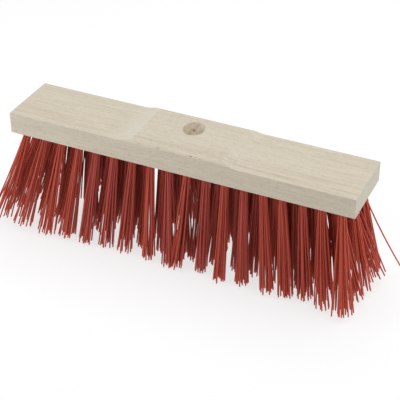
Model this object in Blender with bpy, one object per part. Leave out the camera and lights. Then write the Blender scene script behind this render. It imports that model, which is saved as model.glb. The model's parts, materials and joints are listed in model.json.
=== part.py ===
"""Head of a stiff push broom: a beech board with a slanted handle socket, and tufts of bristle
set in drilled holes in five staggered rows.

Metres, +Z up, +X along the board. The origin is on the floor under the middle of the board, and
the bristle tips lie in the plane z = 0. Every row of tufts bends about its own root line, which
runs along X just under the board.
"""

import math

import bmesh
import bpy
from mathutils import Matrix, Vector

# Board. It is cut from a plank with rounded long edges, and its two ends are then milled thinner.
# An end's thickness is given at its front edge and at its back edge: the left end is milled askew.
BOARD_LENGTH = 0.400
BOARD_WIDTH = 0.076
PLANK_THICKNESS = 0.027
LEFT_END_THICKNESS = (0.0245, 0.0220)
RIGHT_END_THICKNESS = (0.0230, 0.0230)
PLATEAU_HALF_LENGTH = 0.052
RAMP_LENGTH = 0.0145
RAMP_FOOT_RADIUS = 0.030
MILL_SECTIONS = 5
EDGE_RADIUS = 0.0035
EDGE_SEGMENTS = 3

# Handle socket: a blind hole that leans back, away from the front of the broom.
SOCKET_RADIUS = 0.0120
SOCKET_DEPTH = 0.020
SOCKET_TILT = math.radians(30)
SOCKET_MOUTH_Y = 0.0116
SOCKET_SIDES = 32

# Tufts
ROWS = 5
LONG_ROW_TUFTS = 18
TUFT_PITCH = 0.0216
ROW_SPACING = 0.0145
DRILL_RADIUS = 0.0046
DRILL_DEPTH = 0.013
DRILL_SIDES = 10
LEAST_WALL = 0.0015
BRISTLE_LENGTH = 0.118
ROOT_RADIUS = 0.0040
TIP_RADIUS = 0.0075
TUFT_SIDES = 8
ROOT_RINGS = 6
BEND_AXIS_DROP = 0.001

# How far the tips fan out, as a slope from the vertical, at the last tuft and at the last row.
FAN_ALONG = 0.15
END_TUFT_EXTRA = 0.15
END_TUFT_POWER = 7
FAN_ACROSS = 0.15

# In the three inner rows neighbouring tufts are joined where their splayed tips mingle.
INNER_GROUP = 3
MINGLE_SIZE = 0.005
MINGLE_HEIGHT = 0.0045

CUTTER_REACH = 0.020
BEECH = (0.66, 0.57, 0.43)
BRISTLE_RED = (0.36, 0.055, 0.035)

UNDERSIDE = BRISTLE_LENGTH
PLATEAU_TOP = UNDERSIDE + PLANK_THICKNESS
BEND_AXIS_HEIGHT = UNDERSIDE - BEND_AXIS_DROP
LAST_TUFT_X = (LONG_ROW_TUFTS - 1) / 2 * TUFT_PITCH
LAST_ROW_Y = (ROWS - 1) / 2 * ROW_SPACING
SOCKET_AXIS = Vector((0, math.sin(SOCKET_TILT), math.cos(SOCKET_TILT)))
SOCKET_MOUTH = Vector((0, SOCKET_MOUTH_Y, PLATEAU_TOP))
SOCKET_FLOOR = SOCKET_MOUTH - SOCKET_AXIS * SOCKET_DEPTH


def clear_scene():
    for obj in list(bpy.data.objects):
        bpy.data.objects.remove(obj)


def new_collection(name):
    made = bpy.data.collections.new(name)
    bpy.context.scene.collection.children.link(made)
    return made


def new_material(name, colour, roughness):
    made = bpy.data.materials.new(name)
    made.use_nodes = True
    shader = made.node_tree.nodes["Principled BSDF"]
    shader.inputs["Base Color"].default_value = (*colour, 1)
    shader.inputs["Roughness"].default_value = roughness
    shader.inputs["Metallic"].default_value = 0
    made.diffuse_color = (*colour, 1)
    return made


def new_object(name, bm, collection, material=None):
    """A mesh object made from bm, with flat faces left sharp and round ones smooth."""
    mesh = bpy.data.meshes.new(name)
    bmesh.ops.recalc_face_normals(bm, faces=bm.faces)
    bm.to_mesh(mesh)
    bm.free()
    mesh.shade_smooth()
    mesh.set_sharp_from_angle(angle=math.radians(40))
    if material:
        mesh.materials.append(material)
    obj = bpy.data.objects.new(name, mesh)
    collection.objects.link(obj)
    return obj


def as_cutter(obj):
    obj.hide_render = True
    obj.display_type = "WIRE"
    return obj


def plank():
    """The board's raw plank, standing on z = 0, with its two long upper edges rounded."""
    bm = bmesh.new()
    size = Matrix.Diagonal((BOARD_LENGTH, BOARD_WIDTH, PLANK_THICKNESS, 1))
    bmesh.ops.create_cube(bm, size=1, matrix=Matrix.Translation((0, 0, PLANK_THICKNESS / 2)) @ size)
    upper_edges = [
        edge
        for edge in bm.edges
        if all(vert.co.z > PLANK_THICKNESS / 2 for vert in edge.verts)
        and abs(edge.verts[0].co.x - edge.verts[1].co.x) > BOARD_LENGTH / 2
    ]
    bmesh.ops.bevel(
        bm, geom=upper_edges, offset=EDGE_RADIUS, segments=EDGE_SEGMENTS, affect="EDGES", profile=0.5
    )
    return bm


def mill_outline(end_thickness):
    """The outline, at one y, of what milling takes off an end: all above a ramp and a flat."""
    slope = math.atan2(PLANK_THICKNESS - end_thickness, RAMP_LENGTH)
    foot = PLATEAU_HALF_LENGTH + RAMP_LENGTH + RAMP_FOOT_RADIUS * math.tan(slope / 2)
    run_up = PLANK_THICKNESS + CUTTER_REACH * math.tan(slope)
    outline = [(PLATEAU_HALF_LENGTH - CUTTER_REACH, run_up)]
    for step in range(EDGE_SEGMENTS + 1):
        turn = slope * (1 - step / EDGE_SEGMENTS)
        rise = RAMP_FOOT_RADIUS * (1 - math.cos(turn))
        outline.append((foot - RAMP_FOOT_RADIUS * math.sin(turn), end_thickness + rise))
    outline.append((BOARD_LENGTH / 2 + CUTTER_REACH, end_thickness))
    outline.append((BOARD_LENGTH / 2 + CUTTER_REACH, PLANK_THICKNESS + CUTTER_REACH))
    return outline


def end_mill(side, thickness):
    """The cutter for one end: a loft through its outlines from before the board to behind it."""
    front, back = thickness
    bm = bmesh.new()
    rings = []
    for section in range(MILL_SECTIONS):
        y = (section / (MILL_SECTIONS - 1) - 0.5) * (BOARD_WIDTH + 2 * CUTTER_REACH)
        here = (front + back) / 2 + (back - front) * y / BOARD_WIDTH
        rings.append([bm.verts.new((side * x, y, z)) for x, z in mill_outline(here)])
    bm.faces.new(rings[0])
    bm.faces.new(rings[-1])
    for near, far in zip(rings, rings[1:], strict=False):
        for index in range(len(near)):
            bm.faces.new((near[index - 1], near[index], far[index], far[index - 1]))
    return bm


def drill(radius, sides, start, axis, length):
    """A cylinder from start along axis."""
    bm = bmesh.new()
    turn = Vector((0, 0, 1)).rotation_difference(axis).to_matrix().to_4x4()
    bmesh.ops.create_cone(
        bm,
        cap_ends=True,
        segments=sides,
        radius1=radius,
        radius2=radius,
        depth=length,
        matrix=Matrix.Translation(start + axis * length / 2) @ turn,
    )
    return bm


def clear_of_socket(x, y):
    """True if a tuft hole here leaves enough wood between its end and the handle socket."""
    end = Vector((x, y, UNDERSIDE + DRILL_DEPTH)) - SOCKET_FLOOR
    along = end.dot(SOCKET_AXIS)
    away = (end - SOCKET_AXIS * along).length
    return along < -DRILL_RADIUS or away > SOCKET_RADIUS + DRILL_RADIUS + LEAST_WALL


def row_places(row):
    """The x of every tuft in a row. Odd rows have one tuft fewer and are offset by half a pitch."""
    count = LONG_ROW_TUFTS - row % 2
    places = [(index - (count - 1) / 2) * TUFT_PITCH for index in range(count)]
    return [x for x in places if clear_of_socket(x, row_y(row))]


def row_y(row):
    return (row - (ROWS - 1) / 2) * ROW_SPACING


def lean(x, y):
    """The slopes, along X and Y, at which the tuft rooted at x, y fans out."""
    along = x / LAST_TUFT_X
    return FAN_ALONG * along + END_TUFT_EXTRA * along**END_TUFT_POWER, FAN_ACROSS * y / LAST_ROW_Y


def groups_of(places, size):
    """Neighbouring tufts in groups of at most size, which never bridge a missing tuft."""
    groups = [[places[0]]]
    for before, x in zip(places, places[1:], strict=False):
        if x - before > 1.5 * TUFT_PITCH or len(groups[-1]) == size:
            groups.append([])
        groups[-1].append(x)
    return groups


def tuft_shape(x, y):
    """One tuft about its bend axis: a ball that turns in the hole's mouth, and a flat splayed end."""
    slope_x, slope_y = lean(x, y)
    bm = bmesh.new()
    bmesh.ops.create_uvsphere(bm, u_segments=TUFT_SIDES, v_segments=ROOT_RINGS, radius=ROOT_RADIUS)
    tip = Vector((slope_x, slope_y, -1)) * BEND_AXIS_HEIGHT
    bmesh.ops.create_circle(
        bm, segments=TUFT_SIDES, radius=TIP_RADIUS, matrix=Matrix.Translation(tip)
    )
    bmesh.ops.delete(bm, geom=bm.edges, context="EDGES_FACES")
    bmesh.ops.convex_hull(bm, input=bm.verts)
    bmesh.ops.delete(bm, geom=[vert for vert in bm.verts if not vert.link_faces], context="VERTS")
    return bm


def mingled_tips(x, next_x, y):
    """The bridge of crossing bristle ends from one tuft's axis to the next one's."""
    fall = BEND_AXIS_HEIGHT - MINGLE_HEIGHT
    start = lean(x, y)[0] * fall
    end = next_x - x + lean(next_x, y)[0] * fall
    middle = Vector(((start + end) / 2, lean(x, y)[1] * fall, -fall))
    bm = bmesh.new()
    size = Matrix.Diagonal((end - start, MINGLE_SIZE, MINGLE_SIZE, 1))
    bmesh.ops.create_cube(bm, size=1, matrix=Matrix.Translation(middle) @ size)
    return bm


def union(obj, other):
    joint = obj.modifiers.new("join_" + other.name, "BOOLEAN")
    joint.operation = "UNION"
    joint.solver = "EXACT"
    joint.object = other


def make_board(collection, cutters, material):
    """The board, with its ends milled, its socket bored and a hole drilled for every tuft."""
    board = new_object("board", plank(), collection, material)
    board.location.z = UNDERSIDE
    ends = (("left", -1, LEFT_END_THICKNESS), ("right", 1, RIGHT_END_THICKNESS))
    for name, side, thickness in ends:
        mill = as_cutter(new_object(f"{name}_end_mill", end_mill(side, thickness), cutters))
        mill.location.z = UNDERSIDE
    bit = drill(SOCKET_RADIUS, SOCKET_SIDES, SOCKET_FLOOR, SOCKET_AXIS, SOCKET_DEPTH + CUTTER_REACH)
    as_cutter(new_object("socket_bit", bit, cutters))
    up = Vector((0, 0, 1))
    for row in range(ROWS):
        for number, x in enumerate(row_places(row), 1):
            start = Vector((x, row_y(row), UNDERSIDE - CUTTER_REACH))
            bit = drill(DRILL_RADIUS, DRILL_SIDES, start, up, CUTTER_REACH + DRILL_DEPTH)
            as_cutter(new_object(f"drill_{row + 1}_{number:02d}", bit, cutters))
    cut = board.modifiers.new("machining", "BOOLEAN")
    cut.operation = "DIFFERENCE"
    cut.solver = "EXACT"
    cut.operand_type = "COLLECTION"
    cut.collection = cutters


def make_tuft_group(row, first, group, parent, collection, joined, material):
    """One node: a single tuft, or neighbouring tufts that are bridged by their mingled tips."""
    y = row_y(row)
    last = first + len(group) - 1
    name = f"row_{row + 1}_tuft_{first:02d}"
    if last > first:
        name = f"row_{row + 1}_tufts_{first:02d}_to_{last:02d}"
    tuft = new_object(name, tuft_shape(group[0], y), collection, material)
    tuft.parent = parent
    tuft.location.x = group[0]
    for before, x in zip(group, group[1:], strict=False):
        extras = (("neighbour", x, tuft_shape(x, y)), ("bridge", before, mingled_tips(before, x, y)))
        for kind, place, shape in extras:
            extra = as_cutter(new_object(f"{name}_{kind}", shape, joined))
            extra.parent = parent
            extra.location.x = place
            union(tuft, extra)


def make_row(row, collection, joined, material):
    """A row of tufts under an empty on the row's bend axis. The outer rows' tufts stay single."""
    axis = bpy.data.objects.new(f"row_{row + 1}_bend_axis", None)
    axis.location = (0, row_y(row), BEND_AXIS_HEIGHT)
    axis.empty_display_size = ROW_SPACING
    collection.objects.link(axis)
    is_outer = row in (0, ROWS - 1)
    first = 1
    for group in groups_of(row_places(row), 1 if is_outer else INNER_GROUP):
        make_tuft_group(row, first, group, axis, collection, joined, material)
        first += len(group)


def main():
    clear_scene()
    parts = new_collection("push_broom_head")
    board_cutters = new_collection("board_cutters")
    joined_tufts = new_collection("joined_tufts")
    beech = new_material("beech", BEECH, 0.62)
    bristle = new_material("bristle", BRISTLE_RED, 0.42)
    make_board(parts, board_cutters, beech)
    for row in range(ROWS):
        make_row(row, parts, joined_tufts, bristle)
    bpy.context.view_layer.update()


main()
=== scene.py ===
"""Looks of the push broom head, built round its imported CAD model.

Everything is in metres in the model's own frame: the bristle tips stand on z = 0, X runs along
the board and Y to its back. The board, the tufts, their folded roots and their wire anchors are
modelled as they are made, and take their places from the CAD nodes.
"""

import json
import math

import bmesh
import bpy
import numpy as np
from mathutils import Matrix, Vector


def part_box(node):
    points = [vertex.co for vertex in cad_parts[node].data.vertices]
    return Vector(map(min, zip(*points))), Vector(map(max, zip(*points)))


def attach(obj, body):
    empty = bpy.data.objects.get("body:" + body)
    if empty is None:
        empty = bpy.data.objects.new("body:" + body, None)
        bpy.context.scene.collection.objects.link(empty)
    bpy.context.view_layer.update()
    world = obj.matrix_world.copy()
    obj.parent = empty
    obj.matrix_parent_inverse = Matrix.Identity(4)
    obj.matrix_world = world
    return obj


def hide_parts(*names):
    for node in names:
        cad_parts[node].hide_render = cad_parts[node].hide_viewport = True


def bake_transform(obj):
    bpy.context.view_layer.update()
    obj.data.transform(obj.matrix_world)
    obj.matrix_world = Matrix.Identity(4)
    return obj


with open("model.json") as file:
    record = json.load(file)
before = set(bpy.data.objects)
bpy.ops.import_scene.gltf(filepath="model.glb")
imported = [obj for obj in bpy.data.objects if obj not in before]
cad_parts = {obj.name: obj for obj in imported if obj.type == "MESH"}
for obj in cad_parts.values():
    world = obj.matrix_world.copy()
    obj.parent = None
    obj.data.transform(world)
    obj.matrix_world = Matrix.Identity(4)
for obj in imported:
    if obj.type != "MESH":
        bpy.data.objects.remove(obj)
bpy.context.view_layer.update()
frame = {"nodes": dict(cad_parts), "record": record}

# Camera: it looks down on the front, from the right
VIEW_AZIMUTH = math.radians(24.88)
VIEW_ELEVATION = math.radians(35.13)
VIEW_ROLL = math.radians(-0.37)
CAMERA_AT = Vector((0.5023, -1.0581, 0.8832))
LENS_MM = 117.05
SENSOR_MM = 36

# Board, as in the CAD part. The left end is milled askew: thickness at its front and back edges.
BOARD_LOW, BOARD_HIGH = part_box("board")
UNDERSIDE = BOARD_LOW.z
PLATEAU_TOP = BOARD_HIGH.z
BOARD_LENGTH = BOARD_HIGH.x - BOARD_LOW.x
BOARD_WIDTH = BOARD_HIGH.y - BOARD_LOW.y
PLANK_THICKNESS = PLATEAU_TOP - UNDERSIDE
LEFT_END_THICKNESS = (0.0245, 0.0220)
RIGHT_END_THICKNESS = (0.0230, 0.0230)
PLATEAU_HALF_LENGTH = 0.052
RAMP_LENGTH = 0.0145
RAMP_FOOT_RADIUS = 0.030
MILL_SECTIONS = 25
EDGE_SEGMENTS = 12
ROUND_OVER_RADIUS = 0.0085
ROUND_OVER_END = math.radians(48)
WORN_EDGE = 0.0004
WORN_ANGLE = math.radians(25)

# Dents in the plateau's front edge: place along X and size, and their shape
NICKS = ((-0.0200, 0.0010), (0.0185, 0.0011), (0.0240, 0.0008), (0.0310, 0.0009))
NICK_STRETCH = 2.0
NICK_DROP = 1.6

# Handle socket and tuft holes
SOCKET_RADIUS = 0.0120
SOCKET_DEPTH = 0.020
SOCKET_TILT = math.radians(30)
SOCKET_MOUTH_Y = 0.0116
SOCKET_SIDES = 96
SOCKET_AXIS = Vector((0, math.sin(SOCKET_TILT), math.cos(SOCKET_TILT)))
SOCKET_FLOOR = Vector((0, SOCKET_MOUTH_Y, PLATEAU_TOP)) - SOCKET_AXIS * SOCKET_DEPTH
# Where a dark spot is painted on the socket wall, as the shade of a small pit
PIT_SHADE_SPOT = Vector((-0.0041, 0.0200, 0.1370))
DRILL_RADIUS = 0.0046
DRILL_DEPTH = 0.013
DRILL_SIDES = 28
CUTTER_REACH = 0.020

# The board's material slots, and how its faces are told apart for them
SANDED, DRILLED, MILLED, SAWN = range(4)
MILLED_UPWARD = 0.85
SAWN_ENDWARD = 0.99
SKIN = 1e-5
INSIDE = 0.001
SOCKET_ROUNDNESS = 1.002
SOCKET_MOUTH_SPAN = 0.008

# Edges: the angles from which they are drawn sharp, and the steps of a rounded one
SHARP_ANGLE = math.radians(40)
BOARD_SHARP_ANGLE = math.radians(12)
CUT_SHARP_ANGLE = math.radians(60)
ROUNDED_SEGMENTS = 2

# Bristles: each strand is folded over an anchor wire at the bottom of its hole, so both its ends
# hang out. Its roots stand in lines on the two sides of the wire, measured in root pitches.
BRISTLE_RADIUS = 0.0008
BRISTLE_SIDES = 8
BRISTLE_LENGTH = (0.1158, 0.1182)
SHORT_SHARE = 0.06
SHORT_BY = 0.007
ROOT_PITCH = 0.0016
ROOT_LINES = 3
LINE_REACH = 3
FIRST_LINE = 0.64
ROOT_REACH = 2.38

# Reading the CAD tufts: how far apart two roots or two tips are, and when a point is at a level
ROOT_GAP = 0.0015
TIP_RING_GAP = 0.0065
NODE_SNAP = 2e-5

# The course of a bristle: how tips spread and stray, how it curls and bows, where it is folded
SPLAY = (0.0068, 0.0088)
END_SPLAY = 0.50
SPLAY_POWER = 3
TWIST = (math.radians(7), math.radians(13))
TIP_JITTER = 0.0008
STRAY_SHARE = 0.03
STRAY_JITTER = 0.0055
TIP_LIMIT = (0.232, 0.061)
STRAY_ROW = "row_5"
STRAY_TIP = np.array((0.2315, 0.041))
CURL = (-0.05, 0.25)
BOW = 0.0007
LEG_POINTS = 9
FOLD_POINTS = 3
FOLD_CLEARANCE = 0.0002
FOLD_LEVEL = DRILL_DEPTH - BRISTLE_RADIUS - ROOT_REACH * ROOT_PITCH - FOLD_CLEARANCE
SEAM_SIDE = (1.0, 0.3, 0.0)
CUT_SLANT = 0.5

# Shades of bristles: how strands gather round the middle tone, and plum tufts, most at mid-board
TONE_SHAPE = 2
PLUM_SHARE = (0.2, 0.9)
PLUM_POWER = 3

# How the tufts have settled in use, as slopes added to the even fan of the CAD tufts: all drift a
# little to the left, the ends hang differently row by row, more so towards the last tuft, and
# single tufts, counted from the left, were knocked.
DRIFT = -0.018
LEFT_END_SETTLE = {"row_1": 0, "row_2": -0.10, "row_3": -0.06, "row_4": 0.10, "row_5": 0.10}
LEFT_END_POWER = 3
RIGHT_END_SETTLE = {"row_1": -0.16, "row_2": 0.08, "row_3": -0.07, "row_4": 0.13, "row_5": -0.08}
RIGHT_END_POWER = 7
KNOCKED = {
    "row_1": {1: 0.01, 2: -0.015, 8: 0.06, 9: 0.09, 10: -0.05, 11: -0.02, 14: 0.05, 15: 0.03},
    "row_3": {8: 0.04},
    "row_4": {7: 0.12},
    "row_5": {7: 0.15},
}
FRONT_JITTER = (0.0010, 0.0030)
LEAN_JITTER = (0.0048, 0.0030)

# Anchors: short lengths of flat wire pushed across each hole, under the strands' folds
ANCHOR_SIZE = (0.0086, 0.0004, 0.0022)
ANCHOR_EDGE = 0.0001

# Light: the surroundings, the floor's own glow, and each lamp's place, target, side and watts
WORLD_LIGHT = 0.36
FLOOR_GLOW = 0.71
FLOOR_HALF_SIZE = 4
FLOOR_CELLS = 8
FLOOR_DROP = 0.0002
LAMPS = {
    "top_lamp": ((0.1, 0.5, 1.8), (0, 0, 0.08), 1.6, 22),
    "left_lamp": ((-0.80, -0.42, 0.34), (-0.15, 0, 0.10), 0.5, 2.4),
    "right_lamp": ((1.15, 0.10, 0.50), (0.15, 0, 0.08), 0.7, 2.4),
}

SEED = 11

# Colours, linear, with their opacity
BEECH_PALE = (0.688, 0.620, 0.500, 1)
BEECH_WARM = (0.660, 0.575, 0.455, 1)
BEECH_STREAK = (0.540, 0.475, 0.375, 1)
BEECH_LINE = (0.500, 0.400, 0.310, 1)
BEECH_FIBRE = (0.735, 0.685, 0.570, 1)
BEECH_FLECK = (0.360, 0.280, 0.205, 1)
# Painted light on the ramps beside the plateau, strongest at the left
BEECH_RAMP_LIGHT = (0.705, 0.665, 0.565, 1)
BEECH_SAWN = (0.640, 0.622, 0.500, 1)
# End grain, painted paler as light inside the socket and tuft holes
BEECH_END_GRAIN_LIT = (0.900, 0.810, 0.680, 1)
BEECH_BURNT = (0.460, 0.345, 0.255, 1)
# Painted shade of a small pit in the socket wall
BEECH_PIT_SHADE = (0.130, 0.075, 0.050, 1)
PVC_DEEP = (0.460, 0.056, 0.028, 1)
PVC_BRIGHT = (0.640, 0.096, 0.050, 1)
PVC_CLOUD = (0.550, 0.090, 0.062, 1)
PVC_PLUM = (0.430, 0.072, 0.060, 1)
PVC_LINE = (0.720, 0.160, 0.100, 1)
PVC_CUT = (0.740, 0.260, 0.190, 1)
STEEL_DARK = (0.420, 0.420, 0.400, 1)
STEEL_BRIGHT = (0.620, 0.620, 0.600, 1)
FLOOR_DARK = (0.290, 0.290, 0.290, 1)
FLOOR_BRIGHT = (0.310, 0.310, 0.310, 1)
WHITE = (1, 1, 1, 1)

# Rates at which the patterns vary, per metre along X, Y and Z
BAND_RATE = (4, 55, 55)
LINE_RATE = (9, 430, 430)
STREAK_RATE = (22, 520, 520)
FIBRE_RATE = (260, 1300, 1300)
RAY_RATE = (230, 1100, 1300)
RING_RATE = (30, 60, 190)
PORE_RATE = (400, 1100, 1100)
DRILLED_PORE_RATE = (700, 1500, 1500)
BLOTCH_RATE = (160, 300, 300)
MILL_CLOUD_RATE = (60, 90, 60)
PVC_CLOUD_RATE = (60, 60, 25)
DRAW_LINE_RATE = (2200, 2200, 30)
WIRE_LINE_RATE = (120, 3000, 3000)
FLOOR_CLOUD_RATE = (3, 3, 3)

# Where patterns lie, with fades as (share of the reach, strength): dark lines from front to back,
# painted light beside a ramp, painted shade of a pit in the socket, and the pale cut ends of the
# strands
LINES_ACROSS_BOARD = [(0.03, 0.15), (0.10, 1.0), (0.26, 0.8), (0.36, 0.25), (0.9, 0.45)]
# Painted light on the ramps: its reach and fade, and how much weaker it is at the right
RAMP_LIGHT_REACH = 0.028
RAMP_LIGHT_FADE = [(0.0, 1.0), (0.4, 0.7), (1.0, 0.0)]
RIGHT_RAMP_DIMMING = 0.75
RIPPLE_PITCH = 0.0019
PIT_SHADE_REACH = 0.0034
PIT_SHADE_FADE = [(0.10, 1.0), (0.35, 0.35), (0.8, 0.0)]
CUT_END_START = 0.985


def new_object(name, bm):
    """An object with its mesh in the model's frame, smooth but for its sharp edges."""
    mesh = bpy.data.meshes.new(name)
    bmesh.ops.recalc_face_normals(bm, faces=bm.faces)
    bm.to_mesh(mesh)
    bm.free()
    mesh.shade_smooth()
    mesh.set_sharp_from_angle(angle=SHARP_ANGLE)
    obj = bpy.data.objects.new(name, mesh)
    bpy.context.scene.collection.objects.link(obj)
    return obj


# ---------------------------------------------------------------- materials


# Where a Mix node keeps its colour sockets, among others of the same names
MIX_SHARE, MIX_BELOW, MIX_ABOVE = 0, 6, 7
MIX_RESULT = 2


class Nodes:
    """A short way to write a material's node tree."""

    def __init__(self, name):
        self.material = bpy.data.materials.new(name)
        self.material.use_nodes = True
        self.tree = self.material.node_tree
        self.shader = self.tree.nodes["Principled BSDF"]

    def add(self, kind, **settings):
        node = self.tree.nodes.new("ShaderNode" + kind)
        for key, value in settings.items():
            setattr(node, key, value)
        return node

    def set(self, target, value):
        if isinstance(value, bpy.types.NodeSocket):
            self.tree.links.new(value, target)
        else:
            target.default_value = value

    def finish(self, **inputs):
        """Sets inputs of the shader, named with underscores for spaces."""
        for name, value in inputs.items():
            self.set(self.shader.inputs[name.replace("_", " ")], value)
        return self.material

    def place(self):
        """The model's own coordinates."""
        return self.add("TexCoord").outputs["Object"]

    def place_along(self, axis):
        parts = self.add("SeparateXYZ")
        self.set(parts.inputs["Vector"], self.place())
        return parts.outputs[axis]

    def noise(self, rate, detail, roughness=0.55, distortion=0.0):
        """Noise that varies at a rate, per metre along X, Y and Z."""
        mapping = self.add("Mapping")
        self.set(mapping.inputs["Vector"], self.place())
        mapping.inputs["Scale"].default_value = rate
        node = self.add("TexNoise")
        self.set(node.inputs["Vector"], mapping.outputs["Vector"])
        node.inputs["Scale"].default_value = 1.0
        node.inputs["Detail"].default_value = detail
        node.inputs["Roughness"].default_value = roughness
        node.inputs["Distortion"].default_value = distortion
        return node.outputs["Fac"]

    def ramp(self, value, stops):
        """value turned into a grey level by (position, level) stops."""
        node = self.add("ValToRGB")
        elements = node.color_ramp.elements
        while len(elements) < len(stops):
            elements.new(0.5)
        for element, (position, level) in zip(elements, stops, strict=True):
            element.position = position
            element.color = (level, level, level, 1)
        self.set(node.inputs["Fac"], value)
        return node.outputs["Color"]

    def rise(self, value, low, high):
        """0 up to low, 1 from high on, and even between."""
        return self.ramp(value, [(low, 0.0), (high, 1.0)])

    def maths(self, operation, a, b):
        node = self.add("Math", operation=operation)
        self.set(node.inputs[0], a)
        self.set(node.inputs[1], b)
        return node.outputs["Value"]

    def scaled(self, value, factor):
        return self.maths("MULTIPLY", value, factor)

    def mix(self, share, below, above):
        node = self.add("Mix", data_type="RGBA")
        self.set(node.inputs[MIX_SHARE], share)
        self.set(node.inputs[MIX_BELOW], below)
        self.set(node.inputs[MIX_ABOVE], above)
        return node.outputs[MIX_RESULT]

    def layer(self, below, colour, mask, share):
        """colour laid over below where mask says, at most by share."""
        return self.mix(self.scaled(mask, share), below, colour)

    def attribute(self, name):
        return self.add("Attribute", attribute_name=name).outputs["Fac"]

    def roughness(self, pattern, lowest, spread):
        return self.maths("ADD", self.scaled(pattern, spread), lowest)

    def relief(self, height, strength, depth):
        """A normal bent by height."""
        node = self.add("Bump")
        node.inputs["Strength"].default_value = strength
        node.inputs["Distance"].default_value = depth
        self.set(node.inputs["Height"], height)
        return node.outputs["Normal"]


def beech_colour(n):
    """Pale beech: soft growth bands, darker lines, streaks, fibres and short ray flecks along X."""
    streaks = n.noise(STREAK_RATE, detail=5, roughness=0.7)
    fibres = n.noise(FIBRE_RATE, detail=2)
    flecks = n.rise(n.noise(RAY_RATE, detail=1), low=0.62, high=0.72)
    bands = n.rise(n.noise(BAND_RATE, detail=2, distortion=0.5), low=0.32, high=0.70)
    lines = n.noise(LINE_RATE, detail=3, roughness=0.6, distortion=0.3)
    lines = n.rise(lines, low=0.50, high=0.60)
    across = n.maths("ADD", n.maths("DIVIDE", n.place_along("Y"), BOARD_WIDTH), 0.5)
    lines = n.scaled(lines, n.ramp(across, LINES_ACROSS_BOARD))
    colour = n.mix(bands, BEECH_PALE, BEECH_WARM)
    colour = n.layer(colour, BEECH_LINE, lines, share=0.80)
    colour = n.layer(colour, BEECH_STREAK, n.rise(streaks, low=0.42, high=0.64), share=0.60)
    colour = n.layer(colour, BEECH_FIBRE, n.rise(fibres, low=0.38, high=0.70), share=0.45)
    colour = n.layer(colour, BEECH_FLECK, flecks, share=0.42)
    return colour, streaks, fibres, flecks


def finish_wood(n, colour, streaks, fibres, flecks, extra_height=None):
    """Sets a wood's colour, its dull sheen and the relief of its grain."""
    height = n.maths("ADD", fibres, n.scaled(streaks, 0.8))
    height = n.maths("SUBTRACT", height, n.scaled(flecks, 0.8))
    if extra_height is not None:
        height = n.maths("ADD", height, extra_height)
    return n.finish(
        Base_Color=colour,
        Roughness=n.roughness(streaks, lowest=0.52, spread=0.18),
        Normal=n.relief(height, strength=0.25, depth=0.0003),
        Specular_IOR_Level=0.30,
    )


def sanded_material():
    """Sanded, unfinished beech."""
    n = Nodes("beech_sanded")
    return finish_wood(n, *beech_colour(n))


def sawn_material():
    """The board's sawn ends: cooler end grain, with fine pores and faint arcs of growth."""
    n = Nodes("beech_end")
    colour, streaks, fibres, flecks = beech_colour(n)
    rings = n.noise(RING_RATE, detail=2, distortion=0.6)
    pores = n.noise(PORE_RATE, detail=2)
    colour = n.mix(share=0.75, below=colour, above=BEECH_SAWN)
    colour = n.layer(colour, BEECH_STREAK, n.rise(rings, low=0.40, high=0.62), share=0.35)
    colour = n.layer(colour, BEECH_FLECK, n.rise(pores, low=0.50, high=0.68), share=0.30)
    return finish_wood(n, colour, streaks, fibres, flecks, extra_height=n.scaled(pores, -0.8))


def milled_material():
    """The ends' milled upper faces: painted light near the ramps, most at the left, and cutter
    ripples.
    """
    n = Nodes("beech_milled")
    colour, streaks, fibres, flecks = beech_colour(n)
    # Painted light: the ramps are paler where light falls on them, most at the left
    along = n.place_along("X")
    from_ridge = n.maths("SUBTRACT", n.maths("ABSOLUTE", along, 0), PLATEAU_HALF_LENGTH)
    fade = n.ramp(n.maths("DIVIDE", from_ridge, RAMP_LIGHT_REACH), RAMP_LIGHT_FADE)
    at_right = n.maths("GREATER_THAN", along, 0)
    fade = n.scaled(fade, n.maths("SUBTRACT", 1, n.scaled(at_right, RIGHT_RAMP_DIMMING)))
    cloud = n.ramp(n.noise(MILL_CLOUD_RATE, detail=3), [(0.25, 0.45), (0.75, 0.95)])
    colour = n.layer(colour, BEECH_RAMP_LIGHT, fade, cloud)
    ripple = n.maths("SINE", n.scaled(from_ridge, 2 * math.pi / RIPPLE_PITCH), 0)
    return finish_wood(n, colour, streaks, fibres, flecks, extra_height=n.scaled(ripple, 0.12))


def drilled_material():
    """Socket and tuft hole walls: mottled cut end grain, painted paler as light, with a spot of
    painted shade.
    """
    n = Nodes("beech_drilled")
    colour, streaks, fibres, flecks = beech_colour(n)
    blotches = n.noise(BLOTCH_RATE, detail=5, roughness=0.75)
    pores = n.noise(DRILLED_PORE_RATE, detail=2)
    # Painted light: the end grain is paler than the board's top so the walls inside the recess look
    # lit
    colour = n.mix(share=0.85, below=colour, above=BEECH_END_GRAIN_LIT)
    colour = n.layer(colour, BEECH_BURNT, n.rise(blotches, low=0.46, high=0.64), share=0.50)
    colour = n.layer(colour, BEECH_BURNT, n.rise(pores, low=0.55, high=0.70), share=0.35)
    # Painted shade: a dark spot on the socket wall stands in for the shade in a small pit
    distance = n.add("VectorMath", operation="DISTANCE")
    n.set(distance.inputs[0], n.place())
    n.set(distance.inputs[1], PIT_SHADE_SPOT)
    ragged = n.maths("ADD", distance.outputs["Value"], n.scaled(blotches, PIT_SHADE_REACH))
    near = n.maths("SUBTRACT", n.maths("DIVIDE", ragged, PIT_SHADE_REACH), 0.5)
    pit_shade = n.ramp(near, PIT_SHADE_FADE)
    colour = n.layer(colour, BEECH_PIT_SHADE, pit_shade, n.ramp(pores, [(0.30, 0.4), (0.55, 1.0)]))
    return finish_wood(n, colour, streaks, fibres, flecks, extra_height=n.scaled(blotches, -1.2))


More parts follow.
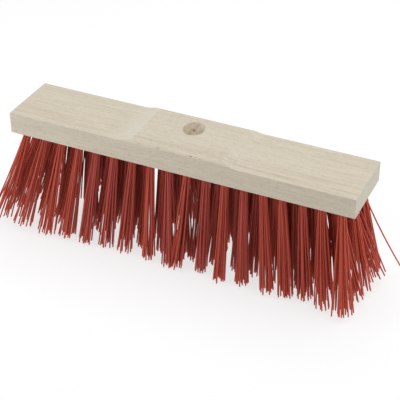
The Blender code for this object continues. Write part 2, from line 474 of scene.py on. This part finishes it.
def bristle_material():
    """Drawn PVC filament: brick red, each strand a shade of its own, with faint draw lines."""
    n = Nodes("bristle_pvc")
    lines = n.noise(DRAW_LINE_RATE, detail=2)
    colour = n.mix(n.attribute("tone"), PVC_DEEP, PVC_BRIGHT)
    colour = n.mix(n.attribute("shade"), colour, PVC_PLUM)
    colour = n.layer(colour, PVC_CLOUD, n.noise(PVC_CLOUD_RATE, detail=2), share=0.35)
    colour = n.layer(colour, PVC_LINE, n.rise(lines, low=0.45, high=0.70), share=0.20)
    cut_end = n.rise(n.attribute("reach"), low=CUT_END_START, high=1.0)
    colour = n.layer(colour, PVC_CUT, cut_end, share=0.35)
    return n.finish(
        Base_Color=colour,
        Roughness=n.roughness(lines, lowest=0.50, spread=0.16),
        Normal=n.relief(lines, strength=0.20, depth=0.0002),
        Specular_IOR_Level=0.28,
    )


def wire_material():
    """Bright drawn steel wire with fine lines along its length."""
    n = Nodes("anchor_steel")
    lines = n.noise(WIRE_LINE_RATE, detail=3)
    return n.finish(
        Base_Color=n.mix(lines, STEEL_DARK, STEEL_BRIGHT),
        Roughness=n.roughness(lines, lowest=0.25, spread=0.2),
        Metallic=1.0,
    )


def floor_material():
    """A matt white table top that glows a little, as a lit product table does."""
    n = Nodes("studio_floor")
    return n.finish(
        Base_Color=n.mix(n.noise(FLOOR_CLOUD_RATE, detail=2), FLOOR_DARK, FLOOR_BRIGHT),
        Roughness=0.9,
        Specular_IOR_Level=0.1,
        Emission_Color=WHITE,
        Emission_Strength=FLOOR_GLOW,
    )


# ---------------------------------------------------------------- board


def plank():
    """The raw plank. Its two long upper edges are rounded over down to a crisp line."""
    flat_half_width = BOARD_WIDTH / 2 - ROUND_OVER_RADIUS * math.sin(ROUND_OVER_END)
    outline = [(-BOARD_WIDTH / 2, UNDERSIDE)]
    for step in range(EDGE_SEGMENTS + 1):
        turn = ROUND_OVER_END * (1 - step / EDGE_SEGMENTS)
        drop = ROUND_OVER_RADIUS * (1 - math.cos(turn))
        out = flat_half_width + ROUND_OVER_RADIUS * math.sin(turn)
        outline.append((-out, PLATEAU_TOP - drop))
    outline += [(-y, z) for y, z in reversed(outline)]
    bm = bmesh.new()
    ends = [
        [bm.verts.new((side * BOARD_LENGTH / 2, y, z)) for y, z in outline] for side in (-1, 1)
    ]
    for end in ends:
        bm.faces.new(end)
    for index in range(len(outline)):
        before = index - 1
        bm.faces.new((ends[0][before], ends[0][index], ends[1][index], ends[1][before]))
    return bm


def mill_outline(end_thickness):
    """The outline, at one y, of what milling takes off an end: all above a ramp and a flat."""
    slope = math.atan2(PLANK_THICKNESS - end_thickness, RAMP_LENGTH)
    foot = PLATEAU_HALF_LENGTH + RAMP_LENGTH + RAMP_FOOT_RADIUS * math.tan(slope / 2)
    run_up = PLANK_THICKNESS + CUTTER_REACH * math.tan(slope)
    outline = [(PLATEAU_HALF_LENGTH - CUTTER_REACH, run_up)]
    for step in range(EDGE_SEGMENTS + 1):
        turn = slope * (1 - step / EDGE_SEGMENTS)
        rise = RAMP_FOOT_RADIUS * (1 - math.cos(turn))
        outline.append((foot - RAMP_FOOT_RADIUS * math.sin(turn), end_thickness + rise))
    outline.append((BOARD_LENGTH / 2 + CUTTER_REACH, end_thickness))
    outline.append((BOARD_LENGTH / 2 + CUTTER_REACH, PLANK_THICKNESS + CUTTER_REACH))
    return outline


def end_mill(side, thickness):
    """The cutter for one end: a loft through its outlines from before the board to behind it."""
    front, back = thickness
    bm = bmesh.new()
    rings = []
    for section in range(MILL_SECTIONS):
        y = (section / (MILL_SECTIONS - 1) - 0.5) * (BOARD_WIDTH + 2 * CUTTER_REACH)
        here = (front + back) / 2 + (back - front) * y / BOARD_WIDTH
        outline = mill_outline(here)
        rings.append([bm.verts.new((side * x, y, UNDERSIDE + z)) for x, z in outline])
    bm.faces.new(rings[0])
    bm.faces.new(rings[-1])
    for near, far in zip(rings, rings[1:], strict=False):
        for index in range(len(near)):
            bm.faces.new((near[index - 1], near[index], far[index], far[index - 1]))
    return bm


def add_nicks(bm):
    """Adds the small dents along the plateau's front edge to bm."""
    for x, size in NICKS:
        middle = Vector((x, size - BOARD_WIDTH / 2, PLATEAU_TOP - NICK_DROP * size))
        place = Matrix.Translation(middle)
        shape = Matrix.Diagonal((NICK_STRETCH, 1, 1, 1))
        bmesh.ops.create_icosphere(bm, subdivisions=2, radius=size, matrix=place @ shape)


def add_bit(bm, radius, sides, start, axis, length):
    """Adds a drill bit's cylinder to bm, from start along axis."""
    turn = Vector((0, 0, 1)).rotation_difference(axis).to_matrix().to_4x4()
    bmesh.ops.create_cone(
        bm,
        cap_ends=True,
        segments=sides,
        radius1=radius,
        radius2=radius,
        depth=length,
        matrix=Matrix.Translation(start + axis * length / 2) @ turn,
    )


def apply_modifiers(obj):
    evaluated = obj.evaluated_get(bpy.context.evaluated_depsgraph_get())
    mesh = bpy.data.meshes.new_from_object(evaluated)
    obj.modifiers.clear()
    obj.data = mesh


def cut(obj, shapes):
    """Cuts shapes out of obj, and applies the cuts."""
    cutters = [new_object("cutter", shape) for shape in shapes]
    for cutter in cutters:
        modifier = obj.modifiers.new("cut", "BOOLEAN")
        modifier.operation = "DIFFERENCE"
        modifier.solver = "EXACT"
        modifier.object = cutter
    apply_modifiers(obj)
    for cutter in cutters:
        bpy.data.objects.remove(cutter)


def paint_milled_faces(mesh):
    """Gives both ends' upper faces the milled material."""
    for face in mesh.polygons:
        beyond = abs(face.center.x) > PLATEAU_HALF_LENGTH
        if beyond and face.normal.z > MILLED_UPWARD and face.center.z < PLATEAU_TOP - SKIN:
            face.material_index = MILLED


def paint_sawn_ends(mesh):
    """Gives the board's two end faces the sawn material."""
    for face in mesh.polygons:
        at_end = abs(face.center.x) > BOARD_LENGTH / 2 - WORN_EDGE
        if at_end and abs(face.normal.x) > SAWN_ENDWARD:
            face.material_index = SAWN


def paint_inner_walls(mesh):
    """Gives the walls of the socket and of the tuft holes the drilled material."""
    for face in mesh.polygons:
        middle = Vector(face.center)
        from_floor = middle - SOCKET_FLOOR
        along = from_floor.dot(SOCKET_AXIS)
        away = (from_floor - SOCKET_AXIS * along).length
        in_socket = away < SOCKET_RADIUS * SOCKET_ROUNDNESS
        in_socket = in_socket and along < SOCKET_DEPTH + SOCKET_MOUTH_SPAN
        in_socket = in_socket and UNDERSIDE + INSIDE < middle.z < PLATEAU_TOP - SKIN
        in_hole = abs(middle.y) < BOARD_WIDTH / 2 - INSIDE
        in_hole = in_hole and UNDERSIDE + SKIN < middle.z < UNDERSIDE + DRILL_DEPTH + SKIN
        in_hole = in_hole and abs(middle.x) < BOARD_LENGTH / 2 - INSIDE
        if in_socket or in_hole:
            face.material_index = DRILLED


def make_board(tufts):
    board = new_object("beech_board", plank())
    materials = {
        SANDED: sanded_material(),
        DRILLED: drilled_material(),
        MILLED: milled_material(),
        SAWN: sawn_material(),
    }
    for slot in sorted(materials):
        board.data.materials.append(materials[slot])
    cut(board, [end_mill(-1, LEFT_END_THICKNESS), end_mill(1, RIGHT_END_THICKNESS)])
    paint_milled_faces(board.data)
    worn = board.modifiers.new("worn_edges", "BEVEL")
    worn.width = WORN_EDGE
    worn.segments = ROUNDED_SEGMENTS
    worn.limit_method = "ANGLE"
    worn.angle_limit = WORN_ANGLE
    apply_modifiers(board)
    drills = bmesh.new()
    up = Vector((0, 0, 1))
    for tuft in tufts:
        start = Vector((tuft.root.x, tuft.root.y, UNDERSIDE - CUTTER_REACH))
        add_bit(drills, DRILL_RADIUS, DRILL_SIDES, start, up, CUTTER_REACH + DRILL_DEPTH)
    socket = bmesh.new()
    reach = SOCKET_DEPTH + CUTTER_REACH
    add_bit(socket, SOCKET_RADIUS, SOCKET_SIDES, SOCKET_FLOOR, SOCKET_AXIS, reach)
    nicks = bmesh.new()
    add_nicks(nicks)
    cut(board, [drills, socket, nicks])
    paint_inner_walls(board.data)
    paint_sawn_ends(board.data)
    board.data.shade_smooth()
    board.data.set_sharp_from_angle(angle=BOARD_SHARP_ANGLE)
    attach(board, "block")
    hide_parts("board")


# ---------------------------------------------------------------- tufts


class Tuft:
    """Where one tuft is rooted and where its tip lies, read from the CAD nodes."""

    def __init__(self, row, node, root, tip):
        self.row = row
        self.node = node
        self.root = root
        self.tip = tip


def runs(values, gap):
    """Sorted values split wherever two neighbours are further apart than gap."""
    found = []
    for value in sorted(values):
        if not found or value - found[-1][-1] > gap:
            found.append([])
        found[-1].append(value)
    return found


def read_tufts():
    """Every tuft of every CAD row: its ball's pole gives the root, its flat end the tip."""
    tufts = []
    behaviour = frame["record"]["behaviour"]
    for row in sorted(name for name in behaviour["bodies"] if name.startswith("row_")):
        for node in sorted(behaviour["bodies"][row]):
            points = {tuple(round(c, 6) for c in v.co) for v in frame["nodes"][node].data.vertices}
            pole = max(z for _, _, z in points)
            roots = runs([x for x, _, z in points if z > pole - NODE_SNAP], ROOT_GAP)
            ends = [point for point in points if abs(point[2]) < NODE_SNAP]
            tips = runs([x for x, _, _ in ends], TIP_RING_GAP)
            tip_y = sum(y for _, y, _ in ends) / len(ends)
            root_y = next(y for _, y, z in points if z > pole - NODE_SNAP)
            for root, tip in zip(roots, tips, strict=True):
                place = Vector((sum(root) / len(root), root_y, UNDERSIDE))
                end = Vector(((tip[0] + tip[-1]) / 2, tip_y, 0))
                tufts.append(Tuft(row, node, place, end))
    return tufts


def root_grid():
    """The two root offsets of every strand, which stand opposite each other across the anchor."""
    strands = []
    for line in range(ROOT_LINES):
        y = FIRST_LINE + line * math.sqrt(3) / 2
        first = 0.5 if line % 2 else 0.0
        for x in (first + step for step in range(-LINE_REACH, LINE_REACH + 1)):
            if math.hypot(x, y) < ROOT_REACH:
                strands.append((np.array((x, y)) * ROOT_PITCH, np.array((x, -y)) * ROOT_PITCH))
    return strands


def settled_tip(tuft, number, last_x, random):
    """Where the tuft's tip lies once the bristles have settled."""
    share = tuft.root.x / last_x
    if share > 0:
        slope = DRIFT + RIGHT_END_SETTLE[tuft.row] * share**RIGHT_END_POWER
    else:
        slope = DRIFT + LEFT_END_SETTLE[tuft.row] * abs(share) ** LEFT_END_POWER
    slope += KNOCKED.get(tuft.row, {}).get(number, 0)
    jitter = FRONT_JITTER if tuft.row == "row_1" else LEAN_JITTER
    return np.array((tuft.tip.x + slope * UNDERSIDE, tuft.tip.y)) + random.normal(0, jitter)


def leg(root, tip, length, random):
    """Points of one bristle of this length, from the hole's mouth towards its tip."""
    aside = tip - root
    drop = math.sqrt(length**2 - aside @ aside)
    curl = random.uniform(*CURL)
    bow = random.normal(0, BOW, 2)
    t = np.linspace(0, 1, LEG_POINTS)[:, None]
    across = root + aside * (t + curl * (t * t - t)) + bow * np.sin(math.pi * t)
    return np.hstack([across, UNDERSIDE - drop * t])


def bristle_length(random):
    length = random.uniform(*BRISTLE_LENGTH)
    if random.random() < SHORT_SHARE:
        length -= random.uniform(0, SHORT_BY)
    return length


def strand_points(first, second):
    """The whole strand: up one leg, over the anchor at the bottom of the hole, down the other."""
    start, end = first[0], second[0]
    radius = np.linalg.norm(end - start) / 2
    level = UNDERSIDE + FOLD_LEVEL
    middle = (start + end) / 2
    half = (start - end) / 2
    fold = []
    for step in range(FOLD_POINTS + 2):
        angle = math.pi * step / (FOLD_POINTS + 1)
        across = middle + half * math.cos(angle)
        fold.append([across[0], across[1], level + radius * math.sin(angle)])
    return np.vstack([first[::-1], np.array(fold), second])


def sweep(points, radius, sides, random):
    """A round tube through points, as vertices in rings, with its two ends cut at a slant."""
    tangents = np.gradient(points, axis=0)
    tangents /= np.linalg.norm(tangents, axis=1)[:, None]
    normal = np.cross(tangents[0], SEAM_SIDE)
    normal /= np.linalg.norm(normal)
    angles = np.arange(sides) * 2 * math.pi / sides
    rings = []
    for point, tangent in zip(points, tangents, strict=True):
        normal = normal - tangent * (normal @ tangent)
        normal /= np.linalg.norm(normal)
        binormal = np.cross(tangent, normal)
        rings.append(
            point
            + radius * (np.cos(angles)[:, None] * normal + np.sin(angles)[:, None] * binormal)
        )
    rings = np.array(rings)
    for end, inner in ((0, 1), (-1, -2)):
        slant = random.normal(0, CUT_SLANT, 2)
        backward = tangents[end] * (1 if end == 0 else -1)
        lift = radius * (np.cos(angles) * slant[0] + np.sin(angles) * slant[1])
        rings[end] += (lift - lift.min())[:, None] * backward
    return rings


def tube_faces(first, rings, sides):
    """Faces of a closed tube whose vertices start at index first."""
    faces = []
    for ring in range(rings - 1):
        low = first + ring * sides
        for side in range(sides):
            after = (side + 1) % sides
            faces.append((low + side, low + after, low + sides + after, low + sides + side))
    faces.append(tuple(first + side for side in reversed(range(sides))))
    last = first + (rings - 1) * sides
    faces.append(tuple(last + side for side in range(sides)))
    return faces


def tuft_strands(tuft, middle, outward, grid, random):
    """A tuft's strands, each as its vertices and its tone, and the shade that they share."""
    splay = random.uniform(*SPLAY) * (1 + END_SPLAY * outward**SPLAY_POWER)
    twist = random.uniform(*TWIST)
    turn = np.array([[math.cos(twist), math.sin(twist)], [-math.sin(twist), math.cos(twist)]])
    fan = turn * splay / (ROOT_REACH * ROOT_PITCH)
    shade = random.uniform(*PLUM_SHARE) * (1 - outward**PLUM_POWER)
    has_stray = tuft.row == STRAY_ROW and outward == 1 and tuft.root.x > 0
    strands = []
    for strand, roots in enumerate(grid):
        legs = []
        for offset in roots:
            jitter = STRAY_JITTER if random.random() < STRAY_SHARE else TIP_JITTER
            tip = middle + offset @ fan + random.normal(0, jitter, 2)
            tip = np.clip(tip, np.negative(TIP_LIMIT), TIP_LIMIT)
            if has_stray and strand == 0 and not legs:
                tip = STRAY_TIP
            root = np.array(tuft.root[:2]) + offset
            legs.append(leg(root, tip, bristle_length(random), random))
        points = strand_points(*legs)
        rings = sweep(points, BRISTLE_RADIUS, BRISTLE_SIDES, random)
        strands.append((rings.reshape(-1, 3), random.beta(TONE_SHAPE, TONE_SHAPE)))
    return strands, shade


def tuft_mesh(name, strands, shade):
    """A mesh of all strands, with the tone, reach and shade that its material reads."""
    leg_reach = np.linspace(0, 1, LEG_POINTS)
    reach = np.concatenate([leg_reach[::-1], np.zeros(FOLD_POINTS + 2), leg_reach])
    rings = len(reach)
    count = rings * BRISTLE_SIDES
    faces = []
    for index in range(len(strands)):
        faces += tube_faces(index * count, rings, BRISTLE_SIDES)
    mesh = bpy.data.meshes.new(name)
    mesh.from_pydata(np.vstack([vertices for vertices, _ in strands]).tolist(), [], faces)
    values = {
        "tone": np.repeat([tone for _, tone in strands], count),
        "reach": np.tile(np.repeat(reach, BRISTLE_SIDES), len(strands)),
        "shade": np.full(len(strands) * count, shade),
    }
    for key, value in values.items():
        attribute = mesh.attributes.new(key, "FLOAT", "POINT")
        attribute.data.foreach_set("value", value.astype(np.float32))
    mesh.shade_smooth()
    mesh.set_sharp_from_angle(angle=CUT_SHARP_ANGLE)
    return mesh


def make_tuft(tuft, number, last_x, material, grid, random):
    """One tuft: its strands, folded in the hole and fanned out below it."""
    middle = settled_tip(tuft, number, last_x, random)
    outward = abs(tuft.root.x / last_x)
    strands, shade = tuft_strands(tuft, middle, outward, grid, random)
    name = f"tuft_{tuft.row[-1]}_{number:02d}"
    obj = bpy.data.objects.new(name, tuft_mesh(name, strands, shade))
    obj.data.materials.append(material)
    bpy.context.scene.collection.objects.link(obj)
    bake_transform(obj)
    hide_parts(tuft.node)


def make_anchors(row, tufts, material):
    """The wire anchors of one row, each lying across its hole under the strands' folds."""
    bm = bmesh.new()
    height = UNDERSIDE + FOLD_LEVEL - ANCHOR_SIZE[2] / 2
    for tuft in tufts:
        middle = Vector((tuft.root.x, tuft.root.y, height))
        matrix = Matrix.Translation(middle) @ Matrix.Diagonal((*ANCHOR_SIZE, 1))
        bmesh.ops.create_cube(bm, size=1, matrix=matrix)
    bmesh.ops.bevel(
        bm,
        geom=bm.edges,
        offset=ANCHOR_EDGE,
        segments=ROUNDED_SEGMENTS,
        affect="EDGES",
        profile=0.5,
    )
    anchors = new_object(f"anchors_{row[-1]}", bm)
    anchors.data.materials.append(material)
    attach(anchors, "block")


def make_tufts(tufts):
    grid = root_grid()
    bristle = bristle_material()
    steel = wire_material()
    last_x = max(tuft.root.x for tuft in tufts)
    for row in sorted({tuft.row for tuft in tufts}):
        in_row = [tuft for tuft in tufts if tuft.row == row]
        in_row.sort(key=lambda tuft: tuft.root.x)
        random = np.random.default_rng([SEED, int(row[-1])])
        for number, tuft in enumerate(in_row, 1):
            make_tuft(tuft, number, last_x, bristle, grid, random)
        make_anchors(row, in_row, steel)


# ---------------------------------------------------------------- studio


def make_camera():
    camera = bpy.data.cameras.new("camera")
    camera.lens = LENS_MM
    camera.sensor_width = SENSOR_MM
    obj = bpy.data.objects.new("camera", camera)
    bpy.context.scene.collection.objects.link(obj)
    across, rise = math.cos(VIEW_ELEVATION), math.sin(VIEW_ELEVATION)
    back = Vector((math.sin(VIEW_AZIMUTH) * across, -math.cos(VIEW_AZIMUTH) * across, rise))
    right = (-back).cross(Vector((0, 0, 1))).normalized()
    upward = right.cross(-back)
    side = math.cos(VIEW_ROLL) * right + math.sin(VIEW_ROLL) * upward
    top = -math.sin(VIEW_ROLL) * right + math.cos(VIEW_ROLL) * upward
    matrix = Matrix((side, top, back)).transposed().to_4x4()
    matrix.translation = CAMERA_AT
    obj.matrix_world = matrix
    bpy.context.scene.camera = obj


def add_lamp(name, place, target, side, watts):
    lamp = bpy.data.lights.new(name, "AREA")
    lamp.shape = "SQUARE"
    lamp.size = side
    lamp.energy = watts
    obj = bpy.data.objects.new(name, lamp)
    bpy.context.scene.collection.objects.link(obj)
    obj.location = place
    aim = Vector(target) - Vector(place)
    obj.rotation_euler = aim.to_track_quat("-Z", "Y").to_euler()


def make_studio():
    """A plain pale floor under soft light from above, from the left and from the right."""
    bm = bmesh.new()
    bmesh.ops.create_grid(bm, x_segments=FLOOR_CELLS, y_segments=FLOOR_CELLS, size=FLOOR_HALF_SIZE)
    floor = new_object("studio_floor", bm)
    floor.location.z = -FLOOR_DROP
    floor.data.materials.append(floor_material())
    for name, settings in LAMPS.items():
        add_lamp(name, *settings)
    world = bpy.data.worlds.new("studio")
    bpy.context.scene.world = world
    world.use_nodes = True
    background = world.node_tree.nodes["Background"]
    background.inputs["Color"].default_value = WHITE
    background.inputs["Strength"].default_value = WORLD_LIGHT
    bpy.context.scene.view_settings.view_transform = "Standard"


def main():
    tufts = read_tufts()
    make_camera()
    make_studio()
    make_board(tufts)
    make_tufts(tufts)


main()
